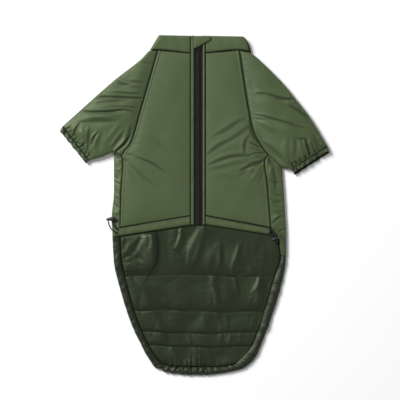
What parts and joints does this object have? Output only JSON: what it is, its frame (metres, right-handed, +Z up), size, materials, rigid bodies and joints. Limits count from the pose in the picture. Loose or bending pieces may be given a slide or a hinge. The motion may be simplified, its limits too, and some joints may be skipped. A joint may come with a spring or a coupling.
{
  "type": "dog winter coat",
  "caption": "Padded dog winter coat laid flat, zip side up: raglan sleeves with gathered cuffs, low collar, drawcord hem and a long quilted tail panel.",
  "frame": {"origin": "centre of the coat's box without its cords and locks, on the surface that it lies on", "axes": "+Y from the tail to the collar, +X to the right of the coat as seen from above with its zip side up, +Z up from the surface"},
  "size_m": [0.3768, 0.4763, 0.0137],
  "materials": {
    "shell": "smooth tightly woven polyester shell over wadding, slight sheen, olive green",
    "lining": "thin glossy taffeta lining, quilted in rows, dark green",
    "elastic_hem": "turned shell fabric gathered on elastic",
    "zip_tape": "black woven zip tape",
    "zip_coil": "black nylon coil",
    "zip_metal": "black enamelled slider",
    "cord": "black braided elastic cord",
    "lock_plastic": "black moulded plastic"
  },
  "bodies": {
    "root": {"back_lining": "lining", "back_panel": "shell", "collar_back": "lining", "collar_front_left": "shell", "collar_front_right": "shell", "cord_left": "cord", "cord_right": "cord", "cuff_left": "elastic_hem", "cuff_right": "elastic_hem", "front_hem_left": "shell", "front_hem_right": "shell", "front_left": "shell", "front_right": "shell", "lock_left": "lock_plastic", "lock_right": "lock_plastic", "side_left": "shell", "side_right": "shell", "sleeve_left": "shell", "sleeve_right": "shell", "tail_hem_end": "elastic_hem", "tail_hem_left": "elastic_hem", "tail_hem_right": "elastic_hem", "zip_chain": "zip_coil", "zip_guard": "shell", "zip_slider": "zip_metal", "zip_tape_left": "zip_tape", "zip_tape_right": "zip_tape", "zip_welt_left": "shell", "zip_welt_right": "shell"}
  },
  "joints": []
}
